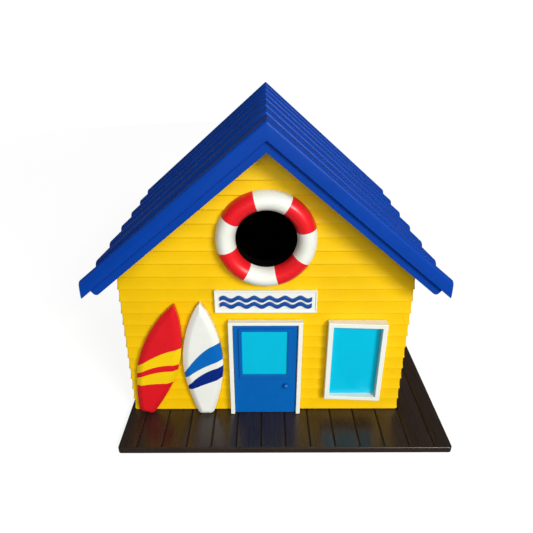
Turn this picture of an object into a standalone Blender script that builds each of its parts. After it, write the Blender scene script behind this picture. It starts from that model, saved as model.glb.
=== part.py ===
"""Beach-shack birdhouse: a clapboard nest box on a planked deck.

The frame is +X to the right of the front wall, +Y from the front wall to the back, +Z up.
The origin is on the underside of the deck, below the middle of the house.  Units are metres.
"""
from math import cos, pi, radians, sin, tan

import bmesh
import bpy
from mathutils import Vector

# ---------------------------------------------------------------- driving dimensions
GAP = 0.0003                    # clearance between neighbouring pieces

HOUSE_WIDTH = 0.1934
HOUSE_DEPTH = 0.1886
WALL_THICKNESS = 0.011
LAP_PITCH = 0.00905             # exposed height of one clapboard
LAP_PROUD = 0.0008              # how far a clapboard's lower edge stands out
FIRST_LAP = 0.0008              # lower edge of the first clapboard above the deck
LAP_COUNT = 21

DECK_THICKNESS = 0.0045
DECK_LEFT = -0.0996
DECK_RIGHT = 0.1250
DECK_FRONT_REACH = 0.0368       # deck in front of the front wall
BACK_REACH = 0.006              # roof and deck behind the back wall
DECK_CORNER = 0.0022
DECK_EDGE = 0.0006
PLANK_PITCH = 0.0167
FIRST_GROOVE = -0.0872
GROOVE_COUNT = 13
GROOVE_WIDTH = 0.0014
GROOVE_DEPTH = 0.0009
GROOVE_LIP = 0.0012             # uncut wood between a groove's end and the deck's edge

ROOF_SLOPE = tan(radians(40.1))
ROOF_UNDERSIDE = 0.1928         # height of the underside's ridge above the deck
SHEATHING_RISE = 0.0065         # thicknesses measured straight up
COVER_RISE = 0.0114
COVER_FALL = 0.0029             # how much thinner a roof course is at its back
RIDGE_GAIN = 0.0008             # courses behind the front one: higher at the ridge,
EAVE_LOSS = 0.0018              # lower at the eave
COURSE_PITCH = 0.0316
ROOF_FRONT_REACH = 0.0193
EAVE_HALF = 0.1124
SHEATHING_EAVE = 0.1070
SHEATHING_SETBACK = 0.0025      # the board stops short of the cover at both ends
EAVE_ROUND = 0.0025

HOLE_RADIUS = 0.01905           # 1 1/2 inch entrance
HOLE_HEIGHT = 0.1361
RING_OUTER = 0.0316
RING_PROUD = 0.008

SIGN = (-0.0337, 0.0331, 0.0844, 0.1009)
SIGN_THICKNESS = 0.0022
SIGN_BORDER = 0.0014
SIGN_RECESS = 0.0006
WAVE_SPAN = (-0.0303, 0.0297)
WAVE_HEIGHTS = (0.0950, 0.0904)
WAVE_LENGTH = 0.0100
WAVE_SWING = 0.0011
WAVE_WEIGHT = 0.0027
WAVE_PROUD = 0.0011

DOOR_FRAME = (-0.0255, 0.0244, 0.0783)
DOOR_FRAME_DEPTH = 0.0048
JAMB_WIDTH = 0.0030
HEAD_HEIGHT = 0.0023
DOOR_DEPTH = 0.0029
BEAD_OUTER = (-0.0187, 0.0184, 0.0316, 0.0728)
BEAD_INNER = (-0.0165, 0.0144, 0.0353, 0.0708)
BEAD_PROUD = 0.0009
PANE_LAP = 0.0009               # how far a pane reaches under its bead
PANE_THICKNESS = 0.0012
KNOB_PLACE = (0.0138, 0.0252)
KNOB_RADIUS = 0.0020

WINDOW = (0.0413, 0.0804, 0.0141, 0.0778)
WINDOW_DEPTH_LEFT = 0.0048
WINDOW_DEPTH_RIGHT = 0.0070
WINDOW_OPENING = (0.0445, 0.0773, 0.0167, 0.0748)
WINDOW_PANE_DEPTH = 0.0017

# each surfboard: middle of the tail (x, height), lean in degrees, length, half width, half tail
SURFBOARD_RED = (-0.0869, 0.0013, 16.5, 0.0930, 0.0138, 0.0050)
SURFBOARD_WHITE = (-0.0435, 0.0, 0.0, 0.0920, 0.0138, 0.0050)
TAIL_ROUND = 0.0024             # radius of the corners of a tail
BOARD_THICKNESS = 0.0058
BOARD_RAIL = 0.0040             # width of the sloping rail round the flat face
BOARD_RAIL_DEPTH = 0.0024

HATCH_HALF = 0.040
HATCH_LAPS = (2, 9)             # clapboards at which the clean-out opening starts and ends
HATCH_SIDE_GAP = 0.0006
HATCH_TOP_GAP = 0.0012
HATCH_BOTTOM_GAP = 0.0009
HATCH_AXIS_DROP = 0.0055        # pivot line below the hatch's top edge
PIN_RADIUS = 0.0012
PIN_LENGTH = 0.016
BUTTON_LENGTH = 0.022
BUTTON_WIDTH = 0.007
BUTTON_THICKNESS = 0.003
BUTTON_DROP = 0.005             # button pivot below the clean-out opening

BLOCK_SIZE = 0.012
BLOCK_HEIGHT = 0.045
SCREW_SHANK = 0.0013
DRAIN_RADIUS = 0.00175

# ---------------------------------------------------------------- places worked out from them
HALF_WIDTH = HOUSE_WIDTH / 2
HALF_DEPTH = HOUSE_DEPTH / 2
FRONT = -HALF_DEPTH
BACK = HALF_DEPTH
DECK_TOP = DECK_THICKNESS
FLOOR = DECK_TOP + GAP
ROOF_FRONT = FRONT - ROOF_FRONT_REACH
BACK_PLANE = BACK + BACK_REACH
DECK_FRONT = FRONT - DECK_FRONT_REACH
ROOF_APEX = DECK_TOP + ROOF_UNDERSIDE
FACE = FRONT - GAP              # back of everything fixed to the front wall
INNER_WIDTH = HALF_WIDTH - WALL_THICKNESS
INNER_DEPTH = HALF_DEPTH - WALL_THICKNESS

WHITE = (0.86, 0.86, 0.82)
YELLOW = (0.84, 0.52, 0.0)
ROOF_BLUE = (0.004, 0.045, 0.36)
DOOR_BLUE = (0.0, 0.09, 0.40)
CYAN = (0.0, 0.47, 0.70)
RED = (0.72, 0.012, 0.016)
BROWN = (0.045, 0.026, 0.019)
RAW_WOOD = (0.55, 0.38, 0.22)
STEEL = (0.62, 0.62, 0.60)


def roof_under(x):
    """Height of the roof's underside above x."""
    return ROOF_APEX - ROOF_SLOPE * abs(x)


def lap_line(index):
    """Height of the lower edge of a clapboard."""
    return DECK_TOP + FIRST_LAP + index * LAP_PITCH


# ---------------------------------------------------------------- scene and helpers
for old in list(bpy.data.objects):
    bpy.data.objects.remove(old)

PARTS = bpy.data.collections.new("birdhouse")
CUTTERS = bpy.data.collections.new("cutters")
bpy.context.scene.collection.children.link(PARTS)
bpy.context.scene.collection.children.link(CUTTERS)


def paint(name, colour, roughness, metallic=0.0):
    material = bpy.data.materials.new(name)
    material.use_nodes = True
    shader = material.node_tree.nodes["Principled BSDF"]
    shader.inputs["Base Color"].default_value = (*colour, 1.0)
    shader.inputs["Roughness"].default_value = roughness
    shader.inputs["Metallic"].default_value = metallic
    return material


def new_object(name, bm, material=None, smooth_below=None):
    """Turns a bmesh into an object; one with no material is a cutter."""
    bmesh.ops.recalc_face_normals(bm, faces=bm.faces)
    mesh = bpy.data.meshes.new(name)
    bm.to_mesh(mesh)
    bm.free()
    thing = bpy.data.objects.new(name, mesh)
    if material is None:
        CUTTERS.objects.link(thing)
        thing.hide_render = True
        thing.display_type = "WIRE"
        return thing
    PARTS.objects.link(thing)
    mesh.materials.append(material)
    if smooth_below:
        mesh.shade_smooth()
        mesh.set_sharp_from_angle(angle=radians(smooth_below))
    return thing


def box_mesh(low, high, edge=0.0):
    """A box between two corners, its edges rounded to the radius 'edge'."""
    bm = bmesh.new()
    bmesh.ops.create_cube(bm, size=1.0)
    size = Vector(high) - Vector(low)
    bmesh.ops.scale(bm, vec=size, verts=bm.verts)
    bmesh.ops.translate(bm, vec=(Vector(low) + Vector(high)) / 2, verts=bm.verts)
    if edge:
        bmesh.ops.bevel(bm, geom=bm.edges[:], offset=edge, segments=2, profile=0.5, affect="EDGES")
    return bm


def prism_mesh(outline, plane, start, end, shear=(0.0, 0.0, 0.0)):
    """Sweeps a flat outline in the plane XY, XZ or YZ along the third axis, from start to end."""
    first, second = ("XYZ".index(letter) for letter in plane)
    third = 3 - first - second
    bm = bmesh.new()
    corners = []
    for point in outline:
        place = [0.0, 0.0, 0.0]
        place[first], place[second] = point
        place[third] = start
        corners.append(bm.verts.new(place))
    base = bm.faces.new(corners)
    swept = bmesh.ops.extrude_face_region(bm, geom=[base])
    move = Vector(shear)
    move[third] += end - start
    bmesh.ops.translate(bm, vec=move, verts=[v for v in swept["geom"] if isinstance(v, bmesh.types.BMVert)])
    return bm


def bevel_where(bm, test, offset, segments):
    """Rounds the edges whose two ends pass the test."""
    chosen = [e for e in bm.edges if test(e.verts[0].co) and test(e.verts[1].co)]
    bmesh.ops.bevel(bm, geom=chosen, offset=offset, segments=segments, profile=0.5, affect="EDGES")


def rectangle(left, right, bottom, top):
    return [(left, bottom), (right, bottom), (right, top), (left, top)]


def cut(target, cutter, operation="DIFFERENCE"):
    modifier = target.modifiers.new(cutter.name, "BOOLEAN")
    modifier.operation = operation
    modifier.object = cutter
    modifier.solver = "EXACT"


def round_cutter(name, radius, length, centre, axis, steps=24, mouth=None):
    """A cylinder, or a cone to the radius 'mouth', centred on a point and lying along an axis."""
    bm = bmesh.new()
    bmesh.ops.create_cone(bm, cap_ends=True, segments=steps, radius1=mouth or radius,
                          radius2=radius, depth=length)
    cutter = new_object(name, bm)
    cutter.location = centre
    if axis == "X":
        cutter.rotation_euler = (0.0, pi / 2, 0.0)
    if axis == "Y":
        cutter.rotation_euler = (pi / 2, 0.0, 0.0)
    return cutter


def turned(name, profile, material, steps, closed=False):
    """Turns a profile of (radius, height) points, given top to bottom, about Z."""
    mesh = bpy.data.meshes.new(name)
    edges = [(i, i + 1) for i in range(len(profile) - 1)]
    if closed:
        edges.append((len(profile) - 1, 0))
    mesh.from_pydata([(r, 0.0, h) for r, h in profile], edges, [])
    mesh.materials.append(material)
    thing = bpy.data.objects.new(name, mesh)
    PARTS.objects.link(thing)
    screw = thing.modifiers.new("turn", "SCREW")
    screw.steps = steps
    screw.render_steps = steps
    screw.use_merge_vertices = True
    screw.merge_threshold = 0.00001
    return thing


# ---------------------------------------------------------------- deck
def make_deck():
    outline = []
    quarter = 4
    centres = ((DECK_RIGHT - DECK_CORNER, BACK_PLANE - DECK_CORNER, 0),
               (DECK_LEFT + DECK_CORNER, BACK_PLANE - DECK_CORNER, 1),
               (DECK_LEFT + DECK_CORNER, DECK_FRONT + DECK_CORNER, 2),
               (DECK_RIGHT - DECK_CORNER, DECK_FRONT + DECK_CORNER, 3))
    for x, y, turn in centres:
        for step in range(quarter + 1):
            angle = (turn + step / quarter) * pi / 2
            outline.append((x + DECK_CORNER * cos(angle), y + DECK_CORNER * sin(angle)))
    bm = prism_mesh(outline, "XY", 0.0, DECK_THICKNESS)
    bevel_where(bm, lambda p: p.z > DECK_THICKNESS / 2, DECK_EDGE, 2)
    deck = new_object("deck_board", bm, paint("deck_brown", BROWN, 0.35), 40)

    grooves = bmesh.new()
    half = GROOVE_WIDTH / 2
    above = GROOVE_DEPTH / 2        # the cutter reaches above the deck, widening as it goes
    wide = half * (GROOVE_DEPTH + above) / GROOVE_DEPTH
    for index in range(GROOVE_COUNT):
        middle = FIRST_GROOVE + index * PLANK_PITCH
        section = [(middle, DECK_TOP - GROOVE_DEPTH), (middle + wide, DECK_TOP + above),
                   (middle - wide, DECK_TOP + above)]
        groove = prism_mesh(section, "XZ", DECK_FRONT + GROOVE_LIP, BACK_PLANE - GROOVE_LIP)
        holder = bpy.data.meshes.new("groove")
        groove.to_mesh(holder)
        groove.free()
        grooves.from_mesh(holder)
    cut(deck, new_object("deck_grooves", grooves))

    for index, (x, y) in enumerate(DRAINS):
        cut(deck, round_cutter(f"drain_{index}", DRAIN_RADIUS, 0.02, (x, y, 0.0), "Z", 12))
    return deck


# ---------------------------------------------------------------- walls
def lap_profile(first, last, bottom):
    """Outer face of the clapboards as (depth behind the lower edges, height), going up."""
    points = [(LAP_PROUD, bottom)]
    for index in range(first, last):
        low = lap_line(index)
        if low > bottom + LAP_PROUD / 2:
            points.append((LAP_PROUD, low))
            points.append((0.0003, low + 0.0001))
        elif index == first:
            points[0] = (0.0003, bottom)
        points.append((0.0, low + 0.0007))
    return points


def gable_wall(name, side, material):
    """A gable wall with mitred ends; side is -1 for the front and 1 for the back."""
    profile = lap_profile(0, LAP_COUNT, FLOOR)
    top = ROOF_APEX + 0.002
    profile.append((LAP_PROUD, top))
    profile.append((WALL_THICKNESS, top))
    profile.append((WALL_THICKNESS, FLOOR))
    outline = [(side * (HALF_DEPTH - depth), height) for depth, height in profile]
    bm = prism_mesh(outline, "YZ", -HALF_WIDTH, HALF_WIDTH)
    for vertex in bm.verts:
        depth = HALF_DEPTH - side * vertex.co.y
        reach = HALF_WIDTH - depth - GAP * 0.71
        vertex.co.x = reach if vertex.co.x > 0 else -reach
    wall = new_object(name, bm, material)

    under = GAP * 1.3               # gap measured straight up under the sloping roof
    wide = HALF_WIDTH + 0.01
    gable = [(-wide, -0.01), (wide, -0.01), (wide, roof_under(wide) - under),
             (0.0, ROOF_APEX - under), (-wide, roof_under(wide) - under)]
    ends = (side * (HALF_DEPTH + 0.01), side * (INNER_DEPTH - 0.01))
    cut(wall, new_object(name + "_gable", prism_mesh(gable, "XZ", *ends)), "INTERSECT")
    return wall


def side_wall(name, side, material):
    """A side wall with mitred ends and a top that follows the roof."""
    eave = roof_under(HALF_WIDTH)
    courses = int((eave - lap_line(0)) / LAP_PITCH) + 1
    profile = lap_profile(0, courses, FLOOR)
    under = GAP * 1.3
    profile.append((0.0008, roof_under(HALF_WIDTH - 0.0008) - under))
    profile.append((WALL_THICKNESS, roof_under(INNER_WIDTH) - under))
    profile.append((WALL_THICKNESS, FLOOR))
    outline = [(side * (HALF_WIDTH - depth), height) for depth, height in profile]
    bm = prism_mesh(outline, "XZ", -HALF_DEPTH, HALF_DEPTH)
    for vertex in bm.verts:
        depth = HALF_WIDTH - side * vertex.co.x
        reach = HALF_DEPTH - depth - GAP * 0.71
        vertex.co.y = reach if vertex.co.y > 0 else -reach
    return new_object(name, bm, material)


# ---------------------------------------------------------------- roof
def roof_sheathing(name, side, material):
    """The plain board under one slope."""
    top = SHEATHING_RISE - GAP * 1.3
    near = GAP / 2
    far_low = SHEATHING_EAVE - 0.003
    outline = [(near, roof_under(near)), (far_low, roof_under(far_low)),
               (SHEATHING_EAVE, roof_under(SHEATHING_EAVE) + top), (near, roof_under(near) + top)]
    outline = [(side * x, z) for x, z in outline]
    bm = prism_mesh(outline, "XZ", ROOF_FRONT + SHEATHING_SETBACK, BACK_PLANE - SHEATHING_SETBACK)
    lowest = roof_under(far_low) + GAP
    bevel_where(bm, lambda p: p.z < lowest and abs(p.x) > HALF_WIDTH, EAVE_ROUND, 3)
    return new_object(name, bm, material)


def roof_cover(name, side, material):
    """The moulded outer layer: overlapping courses that run from the ridge to the eave."""
    crest = COVER_RISE
    outline = [(ROOF_FRONT, 0.0), (ROOF_FRONT, crest - EAVE_ROUND)]
    for step in (1, 2, 3):
        angle = step * pi / 6
        outline.append((ROOF_FRONT + EAVE_ROUND * (1 - cos(angle)),
                        crest - EAVE_ROUND * (1 - sin(angle))))
    start = ROOF_FRONT + COURSE_PITCH
    while start < BACK_PLANE:
        outline.append((start, crest - COVER_FALL))
        outline.append((start + 0.0006, crest - COVER_FALL * 0.45))
        outline.append((start + 0.0022, crest - COVER_FALL * 0.07))
        outline.append((start + 0.0036, crest))
        start += COURSE_PITCH
    last_course = (BACK_PLANE - start + COURSE_PITCH) / COURSE_PITCH
    outline.append((BACK_PLANE, crest - COVER_FALL * last_course))
    outline.append((BACK_PLANE, 0.0))
    near = GAP / 2
    run = EAVE_HALF - near
    base = roof_under(near) + SHEATHING_RISE
    outline = [(y, base + rise) for y, rise in outline]
    bm = prism_mesh(outline, "YZ", side * near, side * EAVE_HALF, (0.0, 0.0, -ROOF_SLOPE * run))
    for vertex in bm.verts:
        rise = vertex.co.z - base + ROOF_SLOPE * (abs(vertex.co.x) - near)
        if rise > COVER_RISE / 2 and vertex.co.y > ROOF_FRONT + EAVE_ROUND + GAP:
            vertex.co.z += RIDGE_GAIN if abs(vertex.co.x) < EAVE_HALF / 2 else -EAVE_LOSS
    # the outer top corner of the eave is rounded off
    at_eave = EAVE_HALF - GAP
    floor = roof_under(EAVE_HALF) + SHEATHING_RISE + COVER_RISE / 2
    bevel_where(bm, lambda p: abs(p.x) > at_eave and p.z > floor, EAVE_ROUND * 0.8, 2)
    return new_object(name, bm, material, 40)


def make_ridge_beam(material):
    half = 0.007
    under = GAP * 1.3
    outline = [(0.0, ROOF_APEX - under), (half, roof_under(half) - under), (half, roof_under(half) - 0.008),
               (-half, roof_under(half) - 0.008), (-half, roof_under(half) - under)]
    reach = INNER_DEPTH - GAP
    return new_object("ridge_beam", prism_mesh(outline, "XZ", -reach, reach), material)


# ---------------------------------------------------------------- front trim
def make_life_ring(material):
    """A half-round ring, flat against the wall."""
    steps = 10
    middle = (HOLE_RADIUS + RING_OUTER) / 2
    half = (RING_OUTER - HOLE_RADIUS) / 2
    profile = []
    for step in range(steps + 1):
        angle = pi * step / steps
        profile.append((middle - half * cos(angle), RING_PROUD * sin(angle)))
    ring = turned("life_ring", profile, material, 64, closed=True)
    ring.location = (0.0, FACE, DECK_TOP + HOLE_HEIGHT)
    ring.rotation_euler = (pi / 2, 0.0, 0.0)
    return ring


def make_sign(material, wave_material):
    left, right, bottom, top = SIGN
    front = FACE - SIGN_THICKNESS
    bm = box_mesh((left, front, DECK_TOP + bottom), (right, FACE, DECK_TOP + top))
    face = min(bm.faces, key=lambda f: f.calc_center_median().y)
    bmesh.ops.inset_region(bm, faces=[face], thickness=SIGN_BORDER, depth=0.0)
    bmesh.ops.inset_region(bm, faces=[face], thickness=GAP, depth=-SIGN_RECESS)
    new_object("sign_board", bm, material)

    floor = front + SIGN_RECESS - GAP
    for name, height in zip(("sign_wave_upper", "sign_wave_lower"), WAVE_HEIGHTS):
        upper = []
        lower = []
        steps = 48
        for step in range(steps + 1):
            x = WAVE_SPAN[0] + (WAVE_SPAN[1] - WAVE_SPAN[0]) * step / steps
            middle = DECK_TOP + height + WAVE_SWING * sin(2 * pi * (x - WAVE_SPAN[0]) / WAVE_LENGTH)
            upper.append((x, middle + WAVE_WEIGHT / 2))
            lower.append((x, middle - WAVE_WEIGHT / 2))
        new_object(name, prism_mesh(upper + lower[::-1], "XZ", floor, floor - WAVE_PROUD), wave_material)


def make_door(frame_material, door_material, pane_material):
    left, right, top = DOOR_FRAME
    inner_left = left + JAMB_WIDTH
    inner_right = right - JAMB_WIDTH
    inner_top = DECK_TOP + top - HEAD_HEIGHT
    outline = [(left, FLOOR), (inner_left, FLOOR), (inner_left, inner_top), (inner_right, inner_top),
               (inner_right, FLOOR), (right, FLOOR), (right, DECK_TOP + top), (left, DECK_TOP + top)]
    new_object("door_frame", prism_mesh(outline, "XZ", FACE, FACE - DOOR_FRAME_DEPTH), frame_material)

    front = FACE - DOOR_DEPTH
    door = new_object("door_panel", box_mesh((inner_left + GAP, front, FLOOR),
                                             (inner_right - GAP, FACE, inner_top - GAP)), door_material)
    x0, x1, z0, z1 = BEAD_INNER
    x0, x1, z0, z1 = x0 - PANE_LAP, x1 + PANE_LAP, z0 - PANE_LAP + DECK_TOP, z1 + PANE_LAP + DECK_TOP
    back = front + PANE_THICKNESS + GAP
    cut(door, new_object("door_recess", box_mesh((x0, front - 0.01, z0), (x1, back, z1))))
    new_object("door_pane", box_mesh((x0 + GAP, front, z0 + GAP), (x1 - GAP, back - GAP, z1 - GAP)),
               pane_material)

    a0, a1, c0, c1 = BEAD_OUTER
    b0, b1, d0, d1 = BEAD_INNER
    bead = new_object("door_bead", box_mesh((a0, front - GAP - BEAD_PROUD, c0 + DECK_TOP),
                                            (a1, front - GAP, c1 + DECK_TOP), GAP), door_material)
    cut(bead, new_object("bead_opening", box_mesh((b0, front - 0.01, d0 + DECK_TOP),
                                                  (b1, front + 0.01, d1 + DECK_TOP))))

    radius = KNOB_RADIUS
    profile = [(0.0, 1.25 * radius), (0.5 * radius, 1.17 * radius), (0.87 * radius, 0.85 * radius),
               (radius, 0.45 * radius), (0.85 * radius, 0.15 * radius), (0.7 * radius, 0.0), (0.0, 0.0)]
    knob = turned("door_knob", profile, door_material, 24)
    knob.location = (KNOB_PLACE[0], front - GAP, DECK_TOP + KNOB_PLACE[1])
    knob.rotation_euler = (pi / 2, 0.0, 0.0)


def make_window(frame_material, pane_material):
    """A box frame that is deeper at its right side than at its left."""
    left, right, bottom, top = WINDOW
    outline = [(left, FACE), (left, FACE - WINDOW_DEPTH_LEFT), (right, FACE - WINDOW_DEPTH_RIGHT), (right, FACE)]
    frame = new_object("window_frame", prism_mesh(outline, "XY", DECK_TOP + bottom, DECK_TOP + top),
                       frame_material)
    x0, x1, z0, z1 = WINDOW_OPENING
    z0 += DECK_TOP
    z1 += DECK_TOP
    cut(frame, new_object("window_opening", box_mesh((x0, FACE - 0.02, z0), (x1, FACE + 0.01, z1))))
    new_object("window_pane", box_mesh((x0 + GAP, FACE - WINDOW_PANE_DEPTH, z0 + GAP),
                                       (x1 - GAP, FACE, z1 - GAP)), pane_material)


def board_half_width(station, length, half_width, half_tail):
    """Half width of a surfboard; the station runs from 0 at the tail to 1 at the tip."""
    widest = 0.46
    if station < widest:
        width = half_width - (half_width - half_tail) * ((widest - station) / widest) ** 1.6
        short = max(0.0, 1 - station * length / TAIL_ROUND)
        return width - TAIL_ROUND * (1 - (1 - short ** 2) ** 0.5)
    reach = (station - widest) / (1 - widest)
    return half_width * (1 - reach ** 2) ** 0.85


def make_surfboard(name, shape, material):
    tail_x, tail_height, lean, length, half_width, half_tail = shape
    tail = TAIL_ROUND / length
    stations = [0.0, tail * 0.13, tail * 0.5, tail] + [step / 16 for step in range(1, 16)] + [0.975]
    right = [(board_half_width(s, length, half_width, half_tail), s * length) for s in stations]
    left = [(-w, s) for w, s in right]
    outline = right + [(0.0, length)] + left[::-1]
    bm = prism_mesh(outline, "XZ", 0.0, BOARD_RAIL_DEPTH - BOARD_THICKNESS)
    face = min(bm.faces, key=lambda f: f.calc_center_median().y)
    bmesh.ops.inset_region(bm, faces=[face], thickness=BOARD_RAIL, depth=BOARD_RAIL_DEPTH)
    board = new_object(name, bm, material)
    board.location = (tail_x, FACE, DECK_TOP + GAP + tail_height)
    board.rotation_euler = (0.0, radians(lean), 0.0)
    return board


# ---------------------------------------------------------------- fasteners
def pan_head_screw(name, head, length, place, material):
    """A screw driven towards -Y into the back wall; 'place' is the seat of its head."""
    rise = head * 0.6
    profile = [(0.0, rise), (0.55 * head, 0.93 * rise), (0.88 * head, 0.6 * rise), (head, 0.2 * rise),
               (head, 0.0), (SCREW_SHANK, 0.0), (SCREW_SHANK, -length + 0.002), (0.0, -length)]
    screw = turned(name, profile, material, 16)
    screw.location = place
    screw.rotation_euler = (-pi / 2, 0.0, 0.0)
    slot = 0.0004
    deep = rise * 0.55
    cutter = new_object(name + "_slot", box_mesh((-head, -slot, rise - deep), (head, slot, rise + 0.001)))
    cutter.location = place
    cutter.rotation_euler = (-pi / 2, 0.0, 0.0)
    cut(screw, cutter)
    return screw


def deck_screw(name, x, y, material):
    """A countersunk screw driven up through the deck."""
    head = 0.0026
    length = 0.022
    profile = [(0.0, length), (SCREW_SHANK, length - 0.003), (SCREW_SHANK, 0.0016), (head, 0.0), (0.0, 0.0)]
    screw = turned(name, profile, material, 16)
    screw.location = (x, y, GAP)
    return screw


# ---------------------------------------------------------------- back: clean-out and hanger
def make_clean_out(back_wall, hatch_material, wood, steel):
    bottom = lap_line(HATCH_LAPS[0])
    top = lap_line(HATCH_LAPS[1])
    cut(back_wall, new_object("hatch_opening", box_mesh((-HATCH_HALF, INNER_DEPTH - 0.01, bottom),
                                                        (HATCH_HALF, BACK + 0.01, top))))

    # the hatch carries the same clapboards as the wall round it
    low = bottom + HATCH_BOTTOM_GAP
    high = top - HATCH_TOP_GAP
    chamfer = 0.0025
    profile = lap_profile(HATCH_LAPS[0], HATCH_LAPS[1], low)
    profile += [(LAP_PROUD, high - chamfer), (LAP_PROUD + chamfer, high),
                (WALL_THICKNESS, high), (WALL_THICKNESS, low)]
    outline = [(BACK - depth, height) for depth, height in profile]
    axis_y = BACK - WALL_THICKNESS / 2
    axis_z = high - HATCH_AXIS_DROP
    outline = [(y - axis_y, z - axis_z) for y, z in outline]
    half = HATCH_HALF - HATCH_SIDE_GAP
    hatch = new_object("cleanout_hatch", prism_mesh(outline, "YZ", -half, half), hatch_material)
    hatch.location = (0.0, axis_y, axis_z)

    for name, side in (("hatch_pin_left", -1), ("hatch_pin_right", 1)):
        middle = (side * HATCH_HALF, axis_y, axis_z)
        bm = bmesh.new()
        bmesh.ops.create_cone(bm, cap_ends=True, segments=16, radius1=PIN_RADIUS,
                              radius2=PIN_RADIUS, depth=PIN_LENGTH)
        pin = new_object(name, bm, steel, 40)
        pin.location = middle
        pin.rotation_euler = (0.0, pi / 2, 0.0)
        bore = round_cutter(name + "_bore", PIN_RADIUS + GAP, PIN_LENGTH + 2 * GAP, middle, "X", 16)
        cut(hatch, bore)
        cut(back_wall, bore)

    stop_inner = INNER_DEPTH - GAP
    new_object("hatch_stop", box_mesh((-HATCH_HALF, stop_inner - 0.006, bottom - 0.008),
                                      (HATCH_HALF, stop_inner, bottom + 0.005)), wood)

    pivot = (0.0, BACK + GAP, bottom - BUTTON_DROP)
    radius = BUTTON_WIDTH / 2
    straight = BUTTON_LENGTH / 2 - radius
    outline = []
    for side in (1, -1):
        for step in range(9):
            angle = side * pi / 2 - side * pi * step / 8
            outline.append((side * straight + side * radius * cos(angle), radius * sin(angle)))
    bm = prism_mesh(outline, "XZ", 0.0, BUTTON_THICKNESS)
    button = new_object("turn_button", bm, wood)
    button.location = pivot
    bore_radius = SCREW_SHANK + GAP
    bore = round_cutter("button_bore", bore_radius, 0.04, (0.0, BACK, pivot[2]), "Y", 16)
    cut(button, bore)
    cut(back_wall, bore)
    seat = BACK + GAP + BUTTON_THICKNESS + GAP
    pan_head_screw("turn_button_screw", 0.003, 0.012, (0.0, seat, pivot[2]), steel)


def make_hanger(back_wall, steel):
    """A saw-toothed strip that stands off the wall between two screwed tabs."""
    sheet = 0.0008
    wall = BACK + GAP
    lift = 0.0025
    half = 0.014
    foot = half + 0.002
    end = 0.024
    low = 0.150
    high = 0.160
    under = [(-end, wall), (-foot, wall), (-half, wall + lift), (half, wall + lift), (foot, wall), (end, wall)]
    over = [(end, wall + sheet), (foot + sheet / 2, wall + sheet), (half + sheet / 2, wall + lift + sheet),
            (-half - sheet / 2, wall + lift + sheet), (-foot - sheet / 2, wall + sheet), (-end, wall + sheet)]
    strip = new_object("sawtooth_hanger", prism_mesh(under + over, "XY", low, high), steel)

    teeth = 8
    span = 2 * (half - 0.002)
    depth = 0.002
    outline = [(span / 2, low - 0.002), (-span / 2, low - 0.002)]
    for index in range(teeth):
        left = -span / 2 + span * index / teeth
        outline.append((left, low - GAP))
        outline.append((left + span / teeth / 2, low + depth))
    outline.append((span / 2, low - GAP))
    cut(strip, new_object("hanger_teeth", prism_mesh(outline, "XZ", wall, wall + 0.01)))

    for name, side in (("hanger_screw_left", -1), ("hanger_screw_right", 1)):
        x = side * (foot + end) / 2
        z = (low + high) / 2
        bore = round_cutter(name + "_bore", SCREW_SHANK + GAP, 0.03, (x, BACK, z), "Y", 16)
        cut(strip, bore)
        cut(back_wall, bore)
        pan_head_screw(name, 0.0024, 0.010, (x, wall + sheet + GAP, z), steel)


# ---------------------------------------------------------------- assembly
block_middle_x = INNER_WIDTH - GAP - BLOCK_SIZE / 2
block_middle_y = INNER_DEPTH - GAP - BLOCK_SIZE / 2
CORNERS = {"front_left": (-block_middle_x, -block_middle_y), "front_right": (block_middle_x, -block_middle_y),
           "back_left": (-block_middle_x, block_middle_y), "back_right": (block_middle_x, block_middle_y)}
DRAINS = [(x * 0.75, y * 0.75) for x, y in CORNERS.values()]

wall_paint = paint("wall_yellow", YELLOW, 0.38)
roof_paint = paint("roof_blue", ROOF_BLUE, 0.32)
white_paint = paint("trim_white", WHITE, 0.32)
door_paint = paint("door_blue", DOOR_BLUE, 0.33)
pane_paint = paint("pane_cyan", CYAN, 0.22)
red_paint = paint("ring_red", RED, 0.28)
sign_paint = paint("sign_blue", ROOF_BLUE, 0.35)
raw_wood = paint("raw_wood", RAW_WOOD, 0.7)
zinc = paint("zinc_steel", STEEL, 0.35, 1.0)

deck_board = make_deck()
front_wall = gable_wall("front_wall", -1, wall_paint)
rear_wall = gable_wall("back_wall", 1, wall_paint)
side_wall("left_wall", -1, wall_paint)
side_wall("right_wall", 1, wall_paint)
entrance = (0.0, FRONT, DECK_TOP + HOLE_HEIGHT)
cut(front_wall, round_cutter("entrance_hole", HOLE_RADIUS, 0.05, entrance, "Y", 64))

make_ridge_beam(raw_wood)
for hand, side in (("left", -1), ("right", 1)):
    roof_sheathing("roof_sheathing_" + hand, side, roof_paint)
    roof_cover("roof_cover_" + hand, side, roof_paint)

make_life_ring(white_paint)
make_sign(white_paint, sign_paint)
make_door(white_paint, door_paint, pane_paint)
make_window(white_paint, pane_paint)
make_surfboard("surfboard_red", SURFBOARD_RED, red_paint)
make_surfboard("surfboard_white", SURFBOARD_WHITE, white_paint)
make_clean_out(rear_wall, wall_paint, raw_wood, zinc)
make_hanger(rear_wall, zinc)

for corner, (x, y) in CORNERS.items():
    half = BLOCK_SIZE / 2
    block = new_object("corner_block_" + corner, box_mesh((x - half, y - half, FLOOR),
                                                          (x + half, y + half, FLOOR + BLOCK_HEIGHT)), raw_wood)
    bore = round_cutter("bore_" + corner, SCREW_SHANK + GAP, 0.05, (x, y, 0.0), "Z", 16)
    cut(block, bore)
    cut(deck_board, bore)
    sink = round_cutter("sink_" + corner, SCREW_SHANK + GAP, 0.0030, (x, y, 0.0005), "Z", 16, mouth=0.0042)
    cut(deck_board, sink)
    deck_screw("deck_screw_" + corner, x, y, zinc)
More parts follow.
